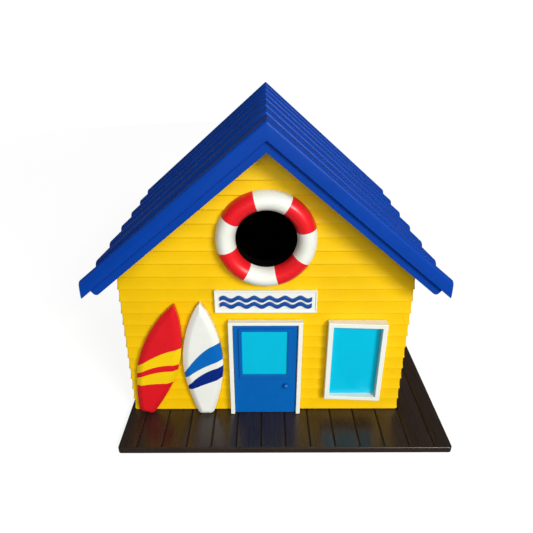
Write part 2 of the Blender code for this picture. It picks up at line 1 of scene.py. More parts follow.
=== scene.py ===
"""Looks of the beach-shack birdhouse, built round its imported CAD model.  Units are metres.

+X is to the right of the front wall, +Y goes from the front wall to the back, +Z is up.
"""
from math import cos, hypot, pi, radians, sin, tan

import bmesh
import bpy
from mathutils import Matrix, Vector


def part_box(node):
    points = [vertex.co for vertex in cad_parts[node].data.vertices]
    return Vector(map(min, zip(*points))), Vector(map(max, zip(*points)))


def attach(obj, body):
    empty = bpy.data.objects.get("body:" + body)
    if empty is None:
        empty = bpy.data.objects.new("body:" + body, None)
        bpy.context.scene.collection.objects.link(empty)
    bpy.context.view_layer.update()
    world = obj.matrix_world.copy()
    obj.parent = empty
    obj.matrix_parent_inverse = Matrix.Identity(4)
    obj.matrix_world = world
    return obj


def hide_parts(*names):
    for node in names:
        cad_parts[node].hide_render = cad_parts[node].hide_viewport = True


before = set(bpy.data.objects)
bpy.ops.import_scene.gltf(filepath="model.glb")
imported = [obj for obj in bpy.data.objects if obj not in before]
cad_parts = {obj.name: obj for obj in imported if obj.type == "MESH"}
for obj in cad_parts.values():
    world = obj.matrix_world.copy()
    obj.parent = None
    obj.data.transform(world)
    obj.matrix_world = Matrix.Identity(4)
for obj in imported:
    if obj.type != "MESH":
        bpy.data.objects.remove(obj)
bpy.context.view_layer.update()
MM = 0.001

# ---------------------------------------------------------------- places read from the frame
DECK_LOW, DECK_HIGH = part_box("deck_board")
DECK_TOP = DECK_HIGH.z
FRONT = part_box("front_wall")[0].y
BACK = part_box("back_wall")[1].y
HALF_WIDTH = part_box("right_wall")[1].x
HALF_DEPTH = (BACK - FRONT) / 2
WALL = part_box("front_wall")[1].y - FRONT
COVER_LOW, COVER_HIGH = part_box("roof_cover_right")
SHEATH_LOW, SHEATH_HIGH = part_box("roof_sheathing_right")
RING_LOW, RING_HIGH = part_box("life_ring")
HOLE_CENTRE = Vector(((RING_LOW.x + RING_HIGH.x) / 2, FRONT, (RING_LOW.z + RING_HIGH.z) / 2))

# ---------------------------------------------------------------- sizes shared with the CAD model
ROOF_SLOPE = tan(radians(40.1))
COVER_RISE = 11.4 * MM
COVER_FALL = 2.9 * MM
RIDGE_GAIN = 0.8 * MM
EAVE_LOSS = 1.8 * MM            # courses behind the front one are lower at the eave, higher at the ridge
COURSE_PITCH = 31.6 * MM
COURSE_BUTT = 3.6 * MM          # length of the rounded front of a roof course
SHEATHING_RISE = 6.5 * MM
EAVE_ROUND = 2.5 * MM
SCREW_BORE = 1.6 * MM           # radius of the bores that the screws pass through
LAP_PITCH = 9.05 * MM
LAP_PROUD = 0.8 * MM
FIRST_LAP = 0.8 * MM
LAP_COUNT = 21
HOLE_RADIUS = 19.05 * MM
PLANK_PITCH = 16.7 * MM
FIRST_GROOVE = -87.2 * MM
GROOVE_COUNT = 13
DECK_CORNER = 2.2 * MM
TOUCH = 0.02 * MM               # how far a piece stands off the one behind it

ROOF_APEX = COVER_HIGH.z - RIDGE_GAIN - COVER_RISE - SHEATHING_RISE


def roof_under(x):
    """Height of the roof's underside."""
    return ROOF_APEX - ROOF_SLOPE * abs(x)


def lap_line(index):
    return DECK_TOP + FIRST_LAP + index * LAP_PITCH


# ---------------------------------------------------------------- mesh helpers
def new_piece(name, bm, materials, smooth=32.0):
    """Makes an object of a bmesh, with one or more materials."""
    bmesh.ops.recalc_face_normals(bm, faces=bm.faces)
    mesh = bpy.data.meshes.new(name)
    bm.to_mesh(mesh)
    bm.free()
    for material in materials if isinstance(materials, (list, tuple)) else [materials]:
        mesh.materials.append(material)
    mesh.shade_smooth()
    mesh.set_sharp_from_angle(angle=radians(smooth))
    piece = bpy.data.objects.new(name, mesh)
    bpy.context.scene.collection.objects.link(piece)
    return piece


def place(piece, slot, *nodes, body="house"):
    """Says what the piece rides on and which CAD nodes it stands for; the slot argument is not used."""
    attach(piece, body)
    for node in nodes:
        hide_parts(node)
    return piece


def box_mesh(low, high):
    bm = bmesh.new()
    bmesh.ops.create_cube(bm, size=1.0)
    bmesh.ops.scale(bm, vec=Vector(high) - Vector(low), verts=bm.verts)
    bmesh.ops.translate(bm, vec=(Vector(low) + Vector(high)) / 2, verts=bm.verts)
    return bm


def prism_mesh(outline, plane, start, end, shear=(0.0, 0.0, 0.0)):
    """Sweeps a flat outline in the plane XY, XZ or YZ along the third axis."""
    first, second = ("XYZ".index(letter) for letter in plane)
    third = 3 - first - second
    bm = bmesh.new()
    corners = []
    for point in outline:
        spot = [0.0, 0.0, 0.0]
        spot[first], spot[second] = point
        spot[third] = start
        corners.append(bm.verts.new(spot))
    base = bm.faces.new(corners)
    swept = bmesh.ops.extrude_face_region(bm, geom=[base])
    move = Vector(shear)
    move[third] += end - start
    bmesh.ops.translate(bm, vec=move, verts=[v for v in swept["geom"] if isinstance(v, bmesh.types.BMVert)])
    return bm


def bevel_where(bm, test, offset, segments):
    """Rounds the edges whose two ends both pass the test."""
    chosen = [e for e in bm.edges if test(e.verts[0].co) and test(e.verts[1].co)]
    bmesh.ops.bevel(bm, geom=chosen, offset=offset, segments=segments, profile=0.5, affect="EDGES",
                    clamp_overlap=True)


def round_edges(piece, width, segments=3, angle=40.0):
    """Rounds every edge sharper than the angle, and keeps the flat faces flat in shading."""
    bevel = piece.modifiers.new("round_edges", "BEVEL")
    bevel.width = width
    bevel.segments = segments
    bevel.limit_method = "ANGLE"
    bevel.angle_limit = radians(angle)
    bevel.harden_normals = True
    bevel.use_clamp_overlap = True


def apply_modifiers(piece):
    """Replaces the piece's mesh by its mesh with the modifiers done."""
    graph = bpy.context.evaluated_depsgraph_get()
    done = bpy.data.meshes.new_from_object(piece.evaluated_get(graph))
    piece.modifiers.clear()
    piece.data = done


def carve(piece, cutters, operation="DIFFERENCE"):
    """Cuts the piece with a list of bmeshes and keeps the result as its mesh."""
    tools = []
    for index, bm in enumerate(cutters):
        bmesh.ops.recalc_face_normals(bm, faces=bm.faces)
        mesh = bpy.data.meshes.new(f"{piece.name}_cut_{index}")
        bm.to_mesh(mesh)
        bm.free()
        tool = bpy.data.objects.new(mesh.name, mesh)
        bpy.context.scene.collection.objects.link(tool)
        modifier = piece.modifiers.new(mesh.name, "BOOLEAN")
        modifier.operation = operation
        modifier.solver = "EXACT"
        modifier.object = tool
        tools.append(tool)
    bpy.context.view_layer.update()
    apply_modifiers(piece)
    for tool in tools:
        bpy.data.objects.remove(tool)


def cylinder_mesh(centre, radius, length, axis, steps=96):
    bm = bmesh.new()
    bmesh.ops.create_cone(bm, cap_ends=True, segments=steps, radius1=radius, radius2=radius, depth=length)
    if axis == "Y":
        bmesh.ops.rotate(bm, matrix=Matrix.Rotation(pi / 2, 3, "X"), verts=bm.verts)
    bmesh.ops.translate(bm, vec=centre, verts=bm.verts)
    return bm


def turned_mesh(profile, centre, toward, steps=48):
    """Turns (radius, height) points, listed from the top down to the axis, about a line."""
    bm = bmesh.new()
    rings = []
    for radius, height in profile:
        if radius == 0.0:
            rings.append([bm.verts.new((0.0, 0.0, height))])
            continue
        angles = [2 * pi * k / steps for k in range(steps)]
        rings.append([bm.verts.new((radius * cos(angle), radius * sin(angle), height)) for angle in angles])
    for upper, lower in zip(rings, rings[1:]):
        for k in range(steps):
            a, b = k, (k + 1) % steps
            corners = [upper[a % len(upper)], lower[a % len(lower)],
                       lower[b % len(lower)], upper[b % len(upper)]]
            bm.faces.new(dict.fromkeys(corners))
    turn = Vector((0.0, 0.0, 1.0)).rotation_difference(Vector(toward)).to_matrix()
    bmesh.ops.rotate(bm, matrix=turn, verts=bm.verts)
    bmesh.ops.translate(bm, vec=centre, verts=bm.verts)
    return bm


# ---------------------------------------------------------------- materials
class Nodes:
    """Short ways to add nodes to a material."""

    def __init__(self, name):
        self.material = bpy.data.materials.new(name)
        self.material.use_nodes = True
        self.tree = self.material.node_tree
        self.shader = self.tree.nodes["Principled BSDF"]
        self.where = self.add("ShaderNodeTexCoord").outputs["Object"]

    def add(self, kind, **settings):
        node = self.tree.nodes.new(kind)
        for key, value in settings.items():
            setattr(node, key, value)
        return node

    def join(self, source, target):
        self.tree.links.new(source, target)

    def stretched(self, scale):
        """The object's own coordinates, scaled to work in millimetres times 'scale'."""
        mapping = self.add("ShaderNodeMapping")
        mapping.inputs["Scale"].default_value = [1000.0 * part for part in scale]
        self.join(self.where, mapping.inputs["Vector"])
        return mapping.outputs["Vector"]

    def noise(self, scale, detail=3.0, roughness=0.55):
        node = self.add("ShaderNodeTexNoise")
        node.inputs["Scale"].default_value = 1.0
        node.inputs["Detail"].default_value = detail
        node.inputs["Roughness"].default_value = roughness
        self.join(self.stretched(scale), node.inputs["Vector"])
        return node.outputs["Fac"]

    def spread(self, value, low, high, start=0.3, end=0.7):
        """Maps start..end of a value to low..high."""
        node = self.add("ShaderNodeMapRange")
        node.inputs["From Min"].default_value = start
        node.inputs["From Max"].default_value = end
        node.inputs["To Min"].default_value = low
        node.inputs["To Max"].default_value = high
        self.join(value, node.inputs["Value"])
        return node.outputs["Result"]

    def blend(self, value, first, second):
        """A colour that goes from first to second with the value."""
        node = self.add("ShaderNodeMix", data_type="RGBA")
        self.join(value, node.inputs["Factor"])
        for socket, colour in ((node.inputs[6], first), (node.inputs[7], second)):
            if hasattr(colour, "is_output"):
                self.join(colour, socket)
            else:
                socket.default_value = (*colour, 1.0)
        return node.outputs[2]

    def bump(self, height, strength, distance):
        node = self.add("ShaderNodeBump")
        node.inputs["Strength"].default_value = strength
        node.inputs["Distance"].default_value = distance
        self.join(height, node.inputs["Height"])
        previous = self.shader.inputs["Normal"]
        if previous.is_linked:
            self.join(previous.links[0].from_socket, node.inputs["Normal"])
        self.join(node.outputs["Normal"], previous)


def shade(colour, factor):
    return tuple(min(1.0, part * factor) for part in colour)


def painted(name, colour, roughness=0.35, streak=(0.05, 0.9, 0.9), mottle=0.06, grain=0.03, specular=0.4):
    """Satin paint: faint cloudy colour, brush streaks in the relief, an uneven gloss."""
    nodes = Nodes(name)
    cloud = nodes.noise((0.04, 0.04, 0.04), 4.0)
    tone = nodes.blend(nodes.spread(cloud, 0.0, 1.0), shade(colour, 1 - mottle), shade(colour, 1 + mottle))
    streaks = nodes.noise(streak, 3.0)
    tone = nodes.blend(nodes.spread(streaks, 0.0, 0.35), tone, shade(colour, 1 - mottle))
    nodes.join(tone, nodes.shader.inputs["Base Color"])
    gloss = nodes.noise((0.25, 0.25, 0.25), 4.0)
    nodes.join(nodes.spread(gloss, roughness - 0.06, roughness + 0.07), nodes.shader.inputs["Roughness"])
    nodes.shader.inputs["Specular IOR Level"].default_value = specular
    nodes.bump(streaks, 0.25, grain * MM)
    nodes.bump(nodes.noise((0.5, 0.5, 0.5), 2.0), 0.2, 0.02 * MM)
    return nodes.material


def contoured(name, colour, roughness=0.32, pitch=0.42):
    """Glossy resin whose curved faces carry fine contour lines, as layers parallel to the wall."""
    nodes = Nodes(name)
    cloud = nodes.noise((0.06, 0.06, 0.06), 4.0)
    tone = nodes.blend(nodes.spread(cloud, 0.0, 1.0), shade(colour, 0.95), shade(colour, 1.03))
    wave = nodes.add("ShaderNodeTexWave", wave_type="BANDS", bands_direction="Y", wave_profile="SIN")
    wave.inputs["Scale"].default_value = 0.314 / pitch
    wave.inputs["Distortion"].default_value = 0.6
    wave.inputs["Detail"].default_value = 1.0
    wave.inputs["Detail Scale"].default_value = 0.4
    nodes.join(nodes.stretched((1.0, 1.0, 1.0)), wave.inputs["Vector"])
    lines = wave.outputs["Fac"]
    tone = nodes.blend(nodes.spread(lines, 0.0, 0.3, 0.0, 1.0), tone, shade(colour, 0.9))
    nodes.join(tone, nodes.shader.inputs["Base Color"])
    gloss = nodes.noise((0.3, 0.3, 0.3), 3.0)
    nodes.join(nodes.spread(gloss, roughness - 0.06, roughness + 0.06), nodes.shader.inputs["Roughness"])
    nodes.shader.inputs["Specular IOR Level"].default_value = 0.45
    nodes.bump(lines, 0.35, 0.04 * MM)
    return nodes.material


def stained_deck():
    """Dark stain over grooved boards: grain along each plank, its own tone, semi-gloss."""
    nodes = Nodes("deck_brown")
    dark, warm = (0.011, 0.008, 0.007), (0.034, 0.020, 0.014)
    parts = nodes.add("ShaderNodeSeparateXYZ")
    nodes.join(nodes.where, parts.inputs["Vector"])
    shift = nodes.add("ShaderNodeMath", operation="SUBTRACT")
    nodes.join(parts.outputs["X"], shift.inputs[0])
    shift.inputs[1].default_value = FIRST_GROOVE
    ratio = nodes.add("ShaderNodeMath", operation="DIVIDE")
    nodes.join(shift.outputs[0], ratio.inputs[0])
    ratio.inputs[1].default_value = PLANK_PITCH
    plank = nodes.add("ShaderNodeMath", operation="FLOOR")
    nodes.join(ratio.outputs[0], plank.inputs[0])
    own = nodes.add("ShaderNodeTexWhiteNoise", noise_dimensions="1D")
    nodes.join(plank.outputs[0], own.inputs["W"])
    grain = nodes.noise((1.1, 0.045, 1.1), 6.0, 0.65)
    fine = nodes.noise((4.0, 0.12, 4.0), 3.0)
    tone = nodes.blend(nodes.spread(grain, 0.1, 0.9, 0.35, 0.65), dark, warm)
    tone = nodes.blend(nodes.spread(own.outputs["Value"], 0.0, 0.4, 0.0, 1.0), tone, (0.042, 0.024, 0.016))
    tone = nodes.blend(nodes.spread(fine, 0.0, 0.25), tone, dark)
    nodes.join(tone, nodes.shader.inputs["Base Color"])
    nodes.join(nodes.spread(grain, 0.24, 0.40), nodes.shader.inputs["Roughness"])
    nodes.bump(grain, 0.3, 0.06 * MM)
    nodes.bump(fine, 0.2, 0.03 * MM)
    return nodes.material


def bare_wood():
    nodes = Nodes("raw_wood")
    grain = nodes.noise((0.25, 0.25, 0.02), 6.0, 0.6)
    tone = nodes.blend(nodes.spread(grain, 0.0, 1.0), (0.62, 0.43, 0.25), (0.42, 0.27, 0.14))
    nodes.join(tone, nodes.shader.inputs["Base Color"])
    nodes.join(nodes.spread(grain, 0.6, 0.8), nodes.shader.inputs["Roughness"])
    nodes.bump(grain, 0.3, 0.08 * MM)
    return nodes.material


def zinc():
    nodes = Nodes("zinc_steel")
    cloud = nodes.noise((0.8, 0.8, 0.8), 4.0)
    tone = nodes.blend(nodes.spread(cloud, 0.0, 1.0), (0.50, 0.51, 0.52), (0.72, 0.72, 0.70))
    nodes.join(tone, nodes.shader.inputs["Base Color"])
    nodes.shader.inputs["Metallic"].default_value = 1.0
    nodes.join(nodes.spread(cloud, 0.25, 0.42), nodes.shader.inputs["Roughness"])
    nodes.bump(nodes.noise((4.0, 0.4, 4.0), 2.0), 0.2, 0.02 * MM)
    return nodes.material


def painted_shade_inside():
    """Near-black painted shade for the inside of the nest box, the entrance's reveal and the joints."""
    nodes = Nodes("inside_painted_shade")
    cloud = nodes.noise((0.1, 0.1, 0.1), 3.0)
    tone = nodes.blend(nodes.spread(cloud, 0.0, 1.0), (0.0015, 0.0014, 0.0013), (0.003, 0.0028, 0.0026))
    nodes.join(tone, nodes.shader.inputs["Base Color"])
    nodes.join(nodes.spread(cloud, 0.85, 0.98), nodes.shader.inputs["Roughness"])
    nodes.shader.inputs["Specular IOR Level"].default_value = 0.05
    return nodes.material


ALONG_X = (0.05, 0.9, 0.9)
ALONG_Y = (0.9, 0.05, 0.9)
ALONG_Z = (0.9, 0.9, 0.05)

YELLOW = painted("wall_yellow", (0.86, 0.525, 0.0), 0.42, streak=ALONG_X)
YELLOW_SIDE = painted("wall_yellow_side", (0.86, 0.525, 0.0), 0.42, streak=ALONG_Y)
ROOF_BLUE = painted("roof_blue", (0.0012, 0.047, 0.335), 0.42, streak=(0.05, 0.9, 0.05),
                    grain=0.01, specular=0.2)
WHITE = painted("trim_white", (0.84, 0.85, 0.76), 0.34, streak=ALONG_Z, mottle=0.02)
SIGN_BLUE = painted("sign_blue", (0.005, 0.065, 0.32), 0.36, streak=ALONG_X)
DOOR_BLUE = painted("door_blue", (0.0005, 0.115, 0.43), 0.32, streak=ALONG_Z)
PANE = painted("pane_cyan", (0.0, 0.49, 0.70), 0.2, streak=ALONG_Z, mottle=0.03, grain=0.01)
RING_RED = contoured("ring_red", (0.80, 0.0115, 0.018))
RING_WHITE = contoured("ring_white", (0.84, 0.85, 0.76))
BOARD_RED = contoured("board_red", (0.72, 0.009, 0.016))
BOARD_WHITE = contoured("board_white", (0.84, 0.85, 0.78))
BOARD_YELLOW = contoured("board_yellow", (0.93, 0.62, 0.002))
BOARD_BLUE = contoured("board_blue", (0.0, 0.13, 0.48))
BOARD_NAVY = contoured("board_navy", (0.0005, 0.0185, 0.20))
DECK_BROWN = stained_deck()
RAW_WOOD = bare_wood()
ZINC = zinc()
# near-black painted shade for faces inside the box and in its joints
PAINTED_SHADE_BLACK = painted_shade_inside()


# ---------------------------------------------------------------- walls
CORNER_ROUND = 1.6 * MM         # radius of the wall's upright corners
NOSE = 0.35 * MM                # radius of a lap's lower edge


def lap_profile(first, last, bottom):
    """Clapboard face as (depth behind the lower edges, height); each lap flares out to its foot."""
    points = []
    for index in range(first, last):
        low = lap_line(index)
        if low < bottom + 0.2 * MM:
            low = bottom
        elif index == first:
            points.append((LAP_PROUD, bottom))
        if index > first or points:
            points.append((LAP_PROUD, low))
        points.append((NOSE, low))
        for step in (1, 2, 3, 4):
            angle = step * pi / 8
            points.append((NOSE * (1 - sin(angle)), low + NOSE * (1 - cos(angle))))
        foot = low + NOSE
        rise = lap_line(index + 1) - foot
        for share in (0.08, 0.17, 0.27, 0.4, 0.55, 0.75):
            points.append((LAP_PROUD * (1 - (1 - share) ** 2.6), foot + rise * share))
    return points


def wall_mesh(profile, half_length, half_across, turns):
    """Carries a (depth, height) profile along a wall and half way round its two corners."""
    stations = []
    for side in (-1, 1):
        for step in range(5):
            angle = side * (pi / 4) * (1 - step / 4 if side < 0 else step / 4)
            stations.append((side, angle))
    bm = bmesh.new()
    rows = []
    for side, angle in stations:
        row = []
        for depth, height in profile:
            if depth < CORNER_ROUND:
                reach = CORNER_ROUND - depth
                along = side * (half_length - CORNER_ROUND) + reach * sin(angle)
                across = -(half_across - CORNER_ROUND) - reach * cos(angle)
            else:
                along = side * (half_length - depth)
                across = -(half_across - depth)
            row.append(bm.verts.new((along, across, height)))
        rows.append(row)
    count = len(profile)
    for here, there in zip(rows, rows[1:]):
        for k in range(count):
            after = (k + 1) % count
            bm.faces.new((here[k], there[k], there[after], here[after]))
    bm.faces.new(rows[0])
    bm.faces.new(rows[-1][::-1])
    bmesh.ops.remove_doubles(bm, verts=bm.verts, dist=0.001 * MM)
    bmesh.ops.rotate(bm, matrix=Matrix.Rotation(turns * pi / 2, 3, "Z"), verts=bm.verts)
    bmesh.ops.translate(bm, vec=(0.0, (FRONT + BACK) / 2, 0.0), verts=bm.verts)
    return bm


def give_painted_shade(piece, is_inside):
    """Gives the second material, the near-black painted shade, to the faces whose corners all look into the
    nest box or a joint.
    """
    mesh = piece.data
    for face in mesh.polygons:
        corners = [mesh.vertices[index].co for index in face.vertices]
        face.material_index = int(all(is_inside(corner, face.normal) for corner in corners))


def gable_wall(name, node, turns, cutters, in_joint):
    bottom = DECK_TOP + TOUCH
    profile = lap_profile(0, LAP_COUNT, bottom)
    top = ROOF_APEX + 2 * MM
    profile += [(LAP_PROUD, top), (WALL, top), (WALL, bottom)]
    wall = new_piece(name, wall_mesh(profile, HALF_WIDTH, HALF_DEPTH, turns), [YELLOW, PAINTED_SHADE_BLACK])
    wide = HALF_WIDTH + 5 * MM
    gable = [(-wide, -wide), (wide, -wide), (wide, roof_under(wide) - TOUCH),
             (0.0, ROOF_APEX - TOUCH), (-wide, roof_under(wide) - TOUCH)]
    carve(wall, [prism_mesh(gable, "XZ", FRONT - wide, BACK + wide)], "INTERSECT")
    carve(wall, cutters)
    middle = (FRONT + BACK) / 2
    inner = HALF_DEPTH - WALL + 0.05 * MM
    # faces inside the box and in the entrance or hatch opening get the near-black painted shade
    give_painted_shade(wall, lambda corner, normal: abs(corner.y - middle) < inner or in_joint(corner, normal))
    wall.data.set_sharp_from_angle(angle=radians(32))
    return place(wall, "wall_yellow", node)


def side_wall(name, node, turns):
    bottom = DECK_TOP + TOUCH
    courses = int((roof_under(HALF_WIDTH) - lap_line(0)) / LAP_PITCH)
    profile = lap_profile(0, courses, bottom)
    depth = LAP_PROUD
    profile += [(depth, lap_line(courses)), (depth, roof_under(HALF_WIDTH - depth) - TOUCH),
                (WALL, roof_under(HALF_WIDTH - WALL) - TOUCH), (WALL, bottom)]
    wall = new_piece(name, wall_mesh(profile, HALF_DEPTH, HALF_WIDTH, turns), [YELLOW_SIDE, PAINTED_SHADE_BLACK])
    inner = HALF_WIDTH - WALL + 0.05 * MM
    # faces inside the box get the near-black painted shade
    give_painted_shade(wall, lambda corner, normal: abs(corner.x) < inner)
    return place(wall, "wall_yellow", node)


def make_walls():
    radius = HOLE_RADIUS + 0.8 * MM     # the ring hides the wider edge
    hole = cylinder_mesh(HOLE_CENTRE, radius, 60 * MM, "Y", 128)

    def near_hole(corner, normal):
        return hypot(corner.x - HOLE_CENTRE.x, corner.z - HOLE_CENTRE.z) < radius + 0.05 * MM

    gable_wall("clapboard_front", "front_wall", 0, [hole], near_hole)
    hatch_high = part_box("cleanout_hatch")[1]
    bottom, top = lap_line(2), lap_line(9)
    half = hatch_high.x + 0.6 * MM
    opening = box_mesh((-half, BACK - 30 * MM, bottom), (half, BACK + 10 * MM, top))

    def in_opening(corner, normal):
        inside = abs(corner.x) < half + TOUCH and bottom - TOUCH < corner.z < top + TOUCH
        return inside and abs(normal.y) < 0.1

    gable_wall("clapboard_back", "back_wall", 2, [opening], in_opening)
    side_wall("clapboard_right", "right_wall", 1)
    side_wall("clapboard_left", "left_wall", 3)


# ---------------------------------------------------------------- roof
def roof_cover(name, node, side):
    """Outer layer of one slope: overlapping courses with rounded front edges."""
    front, back = COVER_LOW.y, COVER_HIGH.y
    crest = COVER_RISE
    foot = 0.5 * MM
    outline = [(front + foot, 0.0), (front, foot), (front, crest - EAVE_ROUND)]
    for step in range(1, 9):
        angle = step * pi / 16
        outline.append((front + EAVE_ROUND * (1 - cos(angle)), crest - EAVE_ROUND * (1 - sin(angle))))
    valley = 0.4 * MM               # how far in front of a course's foot its lowest line lies
    valley_share = 0.985            # share of COVER_FALL that is reached there
    start = front + COURSE_PITCH
    while start < back:
        outline.append((start - valley, crest - COVER_FALL * valley_share))
        for step in range(0, 8):
            angle = step * pi / 14
            outline.append((start + COURSE_BUTT * (1 - cos(angle)), crest - COVER_FALL * (1 - sin(angle))))
        start += COURSE_PITCH
    end = crest - COVER_FALL * (back - start + COURSE_PITCH) / COURSE_PITCH
    outline += [(back - foot, end), (back, end - foot), (back, foot), (back - foot, 0.0)]
    base = roof_under(0.0) + SHEATHING_RISE
    outline = [(y, base + rise) for y, rise in outline]
    run = COVER_HIGH.x
    bm = prism_mesh(outline, "YZ", 0.0, side * run, (0.0, 0.0, -ROOF_SLOPE * run))
    # the top of every course behind the front one is tilted a little along the slope
    for vertex in bm.verts:
        rise = vertex.co.z - base + ROOF_SLOPE * abs(vertex.co.x)
        if rise > COVER_RISE / 2 and vertex.co.y > front + EAVE_ROUND + TOUCH:
            vertex.co.z += RIDGE_GAIN if abs(vertex.co.x) < run / 2 else -EAVE_LOSS
    eave_floor = roof_under(run) + SHEATHING_RISE + COVER_RISE * 0.55
    bevel_where(bm, lambda p: abs(p.x) > run - TOUCH and p.z > eave_floor, EAVE_ROUND * 0.8, 4)
    bevel_where(bm, lambda p: abs(p.x) > run - TOUCH and p.z < eave_floor - 2 * MM, 0.5 * MM, 2)
    return place(new_piece(name, bm, ROOF_BLUE, 40.0), "roof_blue", node)


def roof_sheathing(name, node, side):
    top = SHEATHING_RISE - TOUCH
    far_low = SHEATH_HIGH.x - 3 * MM
    outline = [(0.0, roof_under(0.0)), (far_low, roof_under(far_low)),
               (SHEATH_HIGH.x, roof_under(SHEATH_HIGH.x) + top), (0.0, roof_under(0.0) + top)]
    outline = [(side * x, z) for x, z in outline]
    bm = prism_mesh(outline, "XZ", SHEATH_LOW.y, SHEATH_HIGH.y)
    lowest = roof_under(far_low) + 0.3 * MM
    bevel_where(bm, lambda p: p.z < lowest and abs(p.x) > HALF_WIDTH, EAVE_ROUND, 6)
    piece = new_piece(name, bm, ROOF_BLUE)
    return place(piece, "roof_blue", node)


def make_roof():
    for hand, side in (("left", -1), ("right", 1)):
        roof_cover("roof_courses_" + hand, "roof_cover_" + hand, side)
        roof_sheathing("roof_underlay_" + hand, "roof_sheathing_" + hand, side)


# ---------------------------------------------------------------- deck
def make_deck():
    low, high = DECK_LOW, DECK_HIGH
    outline = []
    quarter = 8
    centres = ((high.x - DECK_CORNER, high.y - DECK_CORNER), (low.x + DECK_CORNER, high.y - DECK_CORNER),
               (low.x + DECK_CORNER, low.y + DECK_CORNER), (high.x - DECK_CORNER, low.y + DECK_CORNER))
    for turn, (x, y) in enumerate(centres):
        for step in range(quarter + 1):
            angle = (turn + step / quarter) * pi / 2
            outline.append((x + DECK_CORNER * cos(angle), y + DECK_CORNER * sin(angle)))
    bm = prism_mesh(outline, "XY", low.z, high.z)
    edge = 0.8 * MM
    bevel_where(bm, lambda p: p.z > high.z - edge, edge, 4)
    bevel_where(bm, lambda p: p.z < low.z + edge / 8, edge / 3, 2)
    deck = new_piece("planked_deck", bm, DECK_BROWN, 30)
    half = 0.7 * MM
    depth = 0.9 * MM
    flare = half * 1.5
    shoulder = 0.25 * MM
    grooves = bmesh.new()
    for index in range(GROOVE_COUNT):
        x = FIRST_GROOVE + index * PLANK_PITCH
        lip = high.z + 0.001 * MM
        section = [(x, high.z - depth), (x + half, high.z - shoulder * 0.3), (x + half + shoulder, lip),
                   (x + flare, high.z + depth), (x - flare, high.z + depth),
                   (x - half - shoulder, lip), (x - half, high.z - shoulder * 0.3)]
        one = prism_mesh(section, "XZ", low.y + 1.2 * MM, high.y - 1.2 * MM)
        holder = bpy.data.meshes.new("groove")
        one.to_mesh(holder)
        one.free()
        grooves.from_mesh(holder)
        bpy.data.meshes.remove(holder)
    bores = []
    for corner in ("front_left", "front_right", "back_left", "back_right"):
        screw_low, screw_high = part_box("deck_screw_" + corner)
        centre = (screw_low + screw_high) / 2
        bores.append(cylinder_mesh((centre.x, centre.y, 0.0), 2.9 * MM, 3.4 * MM, "Z", 48))
        bores.append(cylinder_mesh((centre.x, centre.y, 0.0), SCREW_BORE, 20 * MM, "Z", 32))
        drain = (centre.x * 0.75, centre.y * 0.75, 0.0)
        bores.append(cylinder_mesh(drain, 1.75 * MM, 20 * MM, "Z", 32))
    carve(deck, [grooves] + bores)
    deck.data.set_sharp_from_angle(angle=radians(30))
    return place(deck, "deck_brown", "deck_board")


# ---------------------------------------------------------------- front trim
RING_TURN = -15.0               # where the first white band starts, degrees clockwise from the top
RING_BANDS = 8


def make_ring():
    """Half-round ring in eight bands; each band is its own set of faces."""
    across = 28
    around = RING_BANDS * 18
    middle = (HOLE_RADIUS + RING_HIGH.x - HOLE_CENTRE.x) / 2
    half = middle - HOLE_RADIUS
    back = RING_HIGH.y
    proud = back - RING_LOW.y
    bm = bmesh.new()
    rings = []
    for step in range(around):
        turn = radians(RING_TURN) + 2 * pi * step / around
        line = []
        for part in range(across + 1):
            angle = pi * part / across
            radius = middle - half * cos(angle)
            line.append(bm.verts.new((HOLE_CENTRE.x + radius * sin(turn), back - proud * sin(angle),
                                      HOLE_CENTRE.z + radius * cos(turn))))
        rings.append(line)
    for step in range(around):
        band = step * RING_BANDS // around
        here, there = rings[step], rings[(step + 1) % around]
        for part in range(across + 1):
            after = (part + 1) % (across + 1)
            face = bm.faces.new((here[part], here[after], there[after], there[part]))
            face.material_index = band % 2
    ring = new_piece("ring_banded", bm, [RING_WHITE, RING_RED], 60)
    return place(ring, "ring_red_white", "life_ring")


def make_sign():
    low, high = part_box("sign_board")
    border = 1.4 * MM
    recess = 0.6 * MM
    bm = box_mesh(low, high)
    face = min(bm.faces, key=lambda f: f.calc_center_median().y)
    bmesh.ops.inset_region(bm, faces=[face], thickness=border, depth=0.0)
    bmesh.ops.inset_region(bm, faces=[face], thickness=0.25 * MM, depth=-recess)
    board = new_piece("sign_panel", bm, WHITE)
    round_edges(board, 0.3 * MM)
    place(board, "trim_white", "sign_board")

    for node in ("sign_wave_upper", "sign_wave_lower"):
        low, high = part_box(node)
        weight = 2.7 * MM
        swing = (high.z - low.z - weight) / 2
        length = 10 * MM
        steps = 120
        middle = (low.z + high.z) / 2
        upper, lower = [], []
        for step in range(steps + 1):
            x = low.x + (high.x - low.x) * step / steps
            centre = middle + swing * sin(2 * pi * (x - low.x) / length)
            upper.append((x, centre + weight / 2))
            lower.append((x, centre - weight / 2))
        bm = prism_mesh(upper + lower[::-1], "XZ", high.y, low.y)
        edge = low.y + TOUCH
        bevel_where(bm, lambda p: p.y < edge, 0.6 * MM, 3)
        wave = new_piece(node + "_relief", bm, SIGN_BLUE, 50)
        place(wave, "sign_blue", node)


def framed_opening(name, low, high, opening_low, opening_high, material, width, slot, node):
    """A rectangular frame with rounded edges."""
    frame_piece = new_piece(name, box_mesh(low, high), material)
    deep_low = (opening_low[0], low.y - 5 * MM, opening_low[1])
    deep_high = (opening_high[0], high.y + 5 * MM, opening_high[1])
    carve(frame_piece, [box_mesh(deep_low, deep_high)])
    round_edges(frame_piece, width)
    return place(frame_piece, slot, node)


